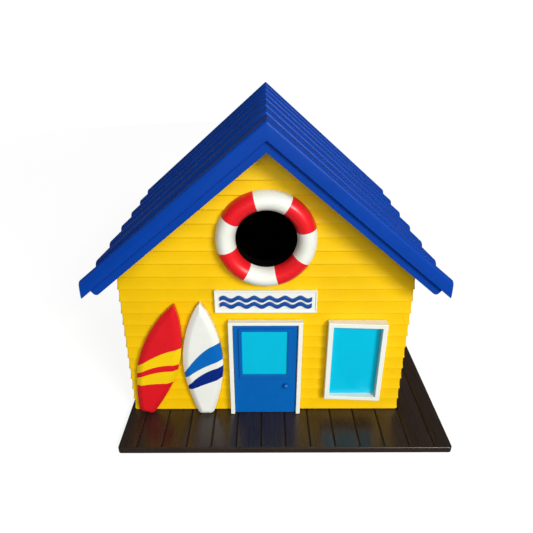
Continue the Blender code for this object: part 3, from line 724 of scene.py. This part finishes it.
def make_door():
    low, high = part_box("door_frame")
    jamb = 3.0 * MM
    head = 2.3 * MM
    outline = [(low.x, low.z), (low.x + jamb, low.z), (low.x + jamb, high.z - head),
               (high.x - jamb, high.z - head), (high.x - jamb, low.z), (high.x, low.z),
               (high.x, high.z), (low.x, high.z)]
    casing = new_piece("door_casing", prism_mesh(outline, "XZ", high.y, low.y), WHITE)
    round_edges(casing, 0.45 * MM)
    place(casing, "trim_white", "door_frame")

    low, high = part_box("door_panel")
    pane_low, pane_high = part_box("door_pane")
    door = new_piece("door_leaf", box_mesh(low, high), DOOR_BLUE)
    reveal = 0.05 * MM
    carve(door, [box_mesh((pane_low.x - reveal, low.y - 5 * MM, pane_low.z - reveal),
                          (pane_high.x + reveal, pane_high.y + reveal, pane_high.z + reveal))])
    round_edges(door, 0.4 * MM)
    place(door, "door_blue", "door_panel")

    pane = new_piece("door_glass", box_mesh(pane_low, pane_high), PANE)
    round_edges(pane, 0.15 * MM, 2)
    place(pane, "pane_cyan", "door_pane")

    low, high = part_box("door_bead")
    left, right, foot, top = 2.2 * MM, 4.0 * MM, 3.7 * MM, 2.0 * MM
    framed_opening("door_moulding", low, high, (low.x + left, low.z + foot), (high.x - right, high.z - top),
                   DOOR_BLUE, 0.4 * MM, "door_blue", "door_bead")

    low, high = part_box("door_knob")
    radius = (high.x - low.x) / 2
    rise = high.y - low.y
    profile = [(0.0, rise)]
    for step in range(1, 11):
        angle = step * pi / 2 / 10
        profile.append((radius * sin(angle), rise * (0.35 + 0.65 * cos(angle))))
    profile += [(radius * 0.9, rise * 0.2), (radius * 0.72, rise * 0.1), (radius * 0.7, 0.0), (0.0, 0.0)]
    centre = ((low.x + high.x) / 2, high.y, (low.z + high.z) / 2)
    knob = new_piece("door_handle", turned_mesh(profile, centre, (0, -1, 0)), DOOR_BLUE, 50)
    place(knob, "door_blue", "door_knob")


def make_window():
    """A box frame, deeper at its right side."""
    low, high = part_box("window_frame")
    shallow = 4.8 * MM
    outline = [(low.x, high.y), (low.x, high.y - shallow), (high.x, low.y), (high.x, high.y)]
    casing = new_piece("window_casing", prism_mesh(outline, "XY", low.z, high.z), WHITE)
    pane_low, pane_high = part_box("window_pane")
    reveal = 0.05 * MM
    carve(casing, [box_mesh((pane_low.x - reveal, low.y - 5 * MM, pane_low.z - reveal),
                            (pane_high.x + reveal, high.y + 5 * MM, pane_high.z + reveal))])
    round_edges(casing, 0.45 * MM)
    place(casing, "trim_white", "window_frame")
    pane = new_piece("window_glass", box_mesh(pane_low, pane_high), PANE)
    round_edges(pane, 0.15 * MM, 2)
    place(pane, "pane_cyan", "window_pane")


# ---------------------------------------------------------------- surfboards
# tail (x, height above the deck), lean in degrees, length, half width, half tail
BOARD_RED_SHAPE = (-86.9, 1.3, 16.5, 93.0, 13.8, 5.0)
BOARD_WHITE_SHAPE = (-43.5, 0.0, 0.0, 92.0, 13.8, 5.0)
TAIL_ROUND = 2.4                # radius of the corners of a tail
# each stripe edge as stations (0 tail, 1 tip) at the left rail, the middle and the right rail, going up
RED_STRIPES = ((0.244, 0.304, 0.350), (0.309, 0.413, 0.471), (0.350, 0.471, 0.522), (0.419, 0.587, 0.666))
WHITE_STRIPES = ((0.243, 0.302, 0.361), (0.271, 0.404, 0.468), (0.352, 0.460, 0.526), (0.396, 0.596, 0.671))


def board_half_width(station, length, half_width, half_tail):
    widest = 0.46
    if station < widest:
        width = half_width - (half_width - half_tail) * ((widest - station) / widest) ** 1.6
        short = max(0.0, 1 - station * length / TAIL_ROUND)
        return width - TAIL_ROUND * (1 - (1 - short ** 2) ** 0.5)
    reach = (station - widest) / (1 - widest)
    return half_width * max(0.0, 1 - reach ** 2) ** 0.85


def stripe_edge(stations, across):
    """Station of a stripe's edge where 'across' runs from -1 at the left rail to 1 at the right."""
    left, middle, right = stations
    slope = (right - left) / 2
    curve = (right + left) / 2 - middle
    return middle + slope * across + curve * across * across


def make_surfboard(name, node, shape, stripes, materials, slot):
    """A board with sloping rails; rows of faces follow the stripes' edges."""
    tail_x, tail_z, lean, length, half_width, half_tail = shape
    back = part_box(node)[1].y
    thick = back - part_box(node)[0].y
    rail, rail_rise = 4.2 * MM, 2.4 * MM
    edge_height = thick - rail_rise
    columns = 32
    fractions = []
    for step in range(columns + 1):
        even = 1 - 2 * step / columns
        fractions.append(-(1 if even > 0 else -1) * (1 - (1 - abs(even)) ** 1.5))
    rows_between = (22, 6, 4, 8, 28)
    edges = [(0.0, 0.0, 0.0)] + list(stripes) + [(1.0, 1.0, 1.0)]
    rows = []
    row_material = []
    for band, count in enumerate(rows_between):
        for step in range(count):
            share = step / count
            if band == 0:
                share = share ** 1.6
            if band == len(rows_between) - 1:
                share = 1 - (1 - share) ** 1.25
            rows.append([(1 - share) * stripe_edge(edges[band], u) + share * stripe_edge(edges[band + 1], u)
                         for u in fractions])
            row_material.append(materials[band])
    rows.append([1.0] * len(fractions))

    def height(from_edge):
        share = min(1.0, from_edge / rail)
        return edge_height + rail_rise * (1 - (1 - share) ** 1.35)

    def width_at(station):
        return board_half_width(station, length, half_width, half_tail) * MM

    bm = bmesh.new()
    face_grid = []
    for row in rows:
        line = []
        for u, station in zip(fractions, row):
            reach = width_at(station)
            from_edge = reach * (1 - abs(u))
            from_tail = station * length * MM
            rise = height(min(from_edge, from_tail * 1.2))
            line.append(bm.verts.new((u * reach, -rise, station * length * MM)))
        face_grid.append(line)
    for r in range(len(rows) - 1):
        for c in range(columns):
            corners = [face_grid[r][c], face_grid[r][c + 1], face_grid[r + 1][c + 1], face_grid[r + 1][c]]
            face = bm.faces.new(corners)
            face.material_index = row_material[r]
    rim = [face_grid[0][c] for c in range(columns)]
    rim += [line[columns] for line in face_grid]
    rim += [line[0] for line in reversed(face_grid[:-1])][:-1]
    rim_material = [row_material[0]] * columns
    rim_material += row_material + row_material[::-1]
    front_edge = rim
    for level in (0.25 * MM, 0.0):
        inset = 0.0 if level else 0.2 * MM
        next_edge = []
        for vertex in rim:
            shift = 1.0
            if abs(vertex.co.x) > 1 * MM:
                shift = 1 - inset / (vertex.co.x ** 2 + 1e-9) ** 0.5
            next_edge.append(bm.verts.new((vertex.co.x * shift, -level, vertex.co.z)))
        for k in range(len(rim)):
            after = (k + 1) % len(rim)
            face = bm.faces.new((front_edge[k], front_edge[after], next_edge[after], next_edge[k]))
            face.material_index = rim_material[min(k, len(rim_material) - 1)]
        front_edge = next_edge
    bm.faces.new(front_edge[::-1])
    bmesh.ops.remove_doubles(bm, verts=bm.verts, dist=0.002 * MM)
    turn = Matrix.Rotation(radians(lean), 4, "Y")
    spot = Matrix.Translation((tail_x * MM, back, DECK_TOP + tail_z * MM + TOUCH * 10))
    bmesh.ops.transform(bm, matrix=spot @ turn, verts=bm.verts)
    palettes = {"board_red": [BOARD_RED, BOARD_YELLOW],
                "board_white": [BOARD_WHITE, BOARD_NAVY, BOARD_BLUE]}
    board = new_piece(name, bm, palettes[slot], 35)
    return place(board, slot, node)


# ---------------------------------------------------------------- clean-out hatch and fittings at the back
def make_hatch():
    low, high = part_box("cleanout_hatch")
    chamfer = 2.5 * MM
    profile = [(depth, height) for depth, height in lap_profile(2, 9, low.z) if height < high.z - chamfer]
    for step in range(0, 5):
        angle = step * pi / 8
        profile.append((LAP_PROUD + chamfer * (1 - cos(angle)), high.z - chamfer * (1 - sin(angle))))
    profile += [(WALL, high.z), (WALL, low.z)]
    outline = [(BACK - depth, height) for depth, height in profile]
    hatch = new_piece("hatch_clapboard", prism_mesh(outline, "YZ", low.x, high.x), [YELLOW, PAINTED_SHADE_BLACK])
    inner = BACK - WALL + 0.05 * MM

    def in_joint(corner, normal):
        on_top = corner.z > high.z - chamfer and normal.z > 0.5
        return corner.y < inner or abs(normal.x) > 0.9 or on_top

    # the hatch's inner face, its sides and its top edge in the joint get the near-black painted shade
    give_painted_shade(hatch, in_joint)
    return place(hatch, "wall_yellow", "cleanout_hatch", body="hatch")


def make_button():
    low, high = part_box("turn_button")
    radius = (high.z - low.z) / 2
    straight = (high.x - low.x) / 2 - radius
    middle = (low.z + high.z) / 2
    outline = []
    for side in (1, -1):
        for step in range(17):
            angle = side * pi / 2 - side * pi * step / 16
            outline.append((side * straight + side * radius * cos(angle), middle + radius * sin(angle)))
    button = new_piece("latch_button", prism_mesh(outline, "XZ", low.y, high.y), RAW_WOOD)
    carve(button, [cylinder_mesh((0.0, high.y, middle), SCREW_BORE, 20 * MM, "Y", 32)])
    round_edges(button, 0.5 * MM, 3, 50)
    return place(button, "raw_wood", "turn_button", body="button")


def make_screw(node, head_rise):
    """A pan-head screw with a slot, its head towards +Y."""
    low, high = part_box(node)
    head = (high.x - low.x) / 2
    seat = high.y - head_rise
    length = seat - low.y
    shank = 1.3 * MM
    profile = [(0.0, head_rise)]
    for step in range(1, 9):
        angle = step * pi / 18
        profile.append((head * sin(angle), head_rise * (0.2 + 0.8 * cos(angle) ** 0.8)))
    profile += [(head, head_rise * 0.2), (head * 0.96, 0.0), (shank, 0.0)]
    thread = 0.8 * MM
    turns = int((length - 3 * MM) / thread)
    for turn in range(turns):
        profile.append((shank * 0.8, -thread * (turn + 0.5)))
        profile.append((shank, -thread * (turn + 1.0)))
    profile.append((0.0, -length))
    centre = ((low.x + high.x) / 2, seat, (low.z + high.z) / 2)
    screw = new_piece(node + "_turned", turned_mesh(profile, centre, (0, 1, 0), 32), ZINC, 40)
    half_slot = 0.4 * MM
    carve(screw, [box_mesh((centre[0] - head - MM, high.y - head_rise * 0.55, centre[2] - half_slot),
                           (centre[0] + head + MM, high.y + MM, centre[2] + half_slot))])
    screw.data.set_sharp_from_angle(angle=radians(40))
    return place(screw, "zinc_steel", node)


def keep_node(node, material):
    """Keeps a CAD node as it is, with a better material."""
    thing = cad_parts[node]
    thing.data.materials.clear()
    thing.data.materials.append(material)


def make_fittings():
    make_hatch()
    make_button()
    make_screw("turn_button_screw", 1.8 * MM)
    make_screw("hanger_screw_left", 1.44 * MM)
    make_screw("hanger_screw_right", 1.44 * MM)
    keep_node("sawtooth_hanger", ZINC)
    for node in ("hatch_pin_left", "hatch_pin_right"):
        keep_node(node, ZINC)
    # corner blocks, ridge beam and hatch stop inside the box get the near-black painted shade
    for corner in ("front_left", "front_right", "back_left", "back_right"):
        keep_node("deck_screw_" + corner, ZINC)
        keep_node("corner_block_" + corner, PAINTED_SHADE_BLACK)
    keep_node("ridge_beam", PAINTED_SHADE_BLACK)
    keep_node("hatch_stop", PAINTED_SHADE_BLACK)


# ---------------------------------------------------------------- camera, light and floor
CAMERA_PLACE = (-1.32 * MM, FRONT - 274.9 * MM, DECK_TOP + 251.0 * MM)
CAMERA_PITCH = 25.95            # degrees below level
CAMERA_YAW = -0.30
CAMERA_ROLL = 0.07
CAMERA_LENS = 32.69             # millimetres on a 36 mm sensor


def make_camera():
    data = bpy.data.cameras.new("camera")
    data.lens = CAMERA_LENS
    data.sensor_width = 36.0
    data.clip_start = 0.01
    data.clip_end = 50.0
    camera = bpy.data.objects.new("camera", data)
    bpy.context.scene.collection.objects.link(camera)
    turn = (Matrix.Rotation(radians(CAMERA_YAW), 4, "Z") @ Matrix.Rotation(radians(90 - CAMERA_PITCH), 4, "X")
            @ Matrix.Rotation(radians(CAMERA_ROLL), 4, "Z"))
    camera.matrix_world = Matrix.Translation(CAMERA_PLACE) @ turn
    bpy.context.scene.camera = camera


def area_light(name, spot, size, power, in_gloss=True):
    """A round soft light that looks at the middle of the house."""
    data = bpy.data.lights.new(name, "AREA")
    data.shape = "DISK"
    data.size = size
    data.energy = power
    light = bpy.data.objects.new(name, data)
    bpy.context.scene.collection.objects.link(light)
    light.location = spot
    light.rotation_euler = (Vector((0.0, 0.0, 0.1)) - Vector(spot)).to_track_quat("-Z", "Y").to_euler()
    light.visible_glossy = in_gloss


def glowing(name, colour, glow):
    """A plain pale surface that also gives a little light."""
    material = bpy.data.materials.new(name)
    material.use_nodes = True
    shader = material.node_tree.nodes["Principled BSDF"]
    shader.inputs["Base Color"].default_value = (colour, colour, colour, 1.0)
    shader.inputs["Roughness"].default_value = 0.9
    shader.inputs["Specular IOR Level"].default_value = 0.0
    shader.inputs["Emission Color"].default_value = (1.0, 1.0, 1.0, 1.0)
    shader.inputs["Emission Strength"].default_value = glow
    return material


def make_stage():
    bm = bmesh.new()
    bmesh.ops.create_circle(bm, cap_ends=True, segments=96, radius=1.2)
    bmesh.ops.translate(bm, vec=(0.0, 0.0, DECK_LOW.z - TOUCH), verts=bm.verts)
    floor = new_piece("floor", bm, glowing("floor_pale", 0.25, 0.86))
    floor.visible_glossy = False
    floor.visible_diffuse = False

    bm = bmesh.new()
    bmesh.ops.create_uvsphere(bm, u_segments=48, v_segments=24, radius=7.0)
    dome = new_piece("backdrop", bm, glowing("backdrop_white", 0.0, 1.0))
    for ray in ("diffuse", "glossy", "transmission", "volume_scatter", "shadow"):
        setattr(dome, "visible_" + ray, False)

    world = bpy.data.worlds.new("studio")
    bpy.context.scene.world = world
    world.use_nodes = True
    world.node_tree.nodes["Background"].inputs["Color"].default_value = (1.0, 1.0, 1.0, 1.0)
    world.node_tree.nodes["Background"].inputs["Strength"].default_value = 0.10
    # place and diameter in metres, power in watts, and whether reflections show the light
    area_light("key", (0.8, -1.3, 0.85), 0.6, 22.0)
    area_light("front_fill", (0.0, -1.7, 0.6), 1.3, 13.5, False)
    area_light("sky", (0.0, 0.0, 2.0), 1.8, 2.5, False)
    area_light("back_left_fill", (-1.3, 1.3, 0.5), 1.0, 5.0, False)
    area_light("back_right_fill", (1.3, 1.3, 0.5), 1.0, 12.0, False)
    bpy.context.scene.view_settings.view_transform = "Standard"


make_camera()
make_stage()
make_walls()
make_roof()
make_deck()
make_ring()
make_sign()
make_door()
make_window()
make_surfboard("board_leaning", "surfboard_red", BOARD_RED_SHAPE, RED_STRIPES, (0, 1, 0, 1, 0), "board_red")
make_surfboard("board_upright", "surfboard_white", BOARD_WHITE_SHAPE, WHITE_STRIPES, (0, 1, 0, 2, 0),
               "board_white")
make_fittings()
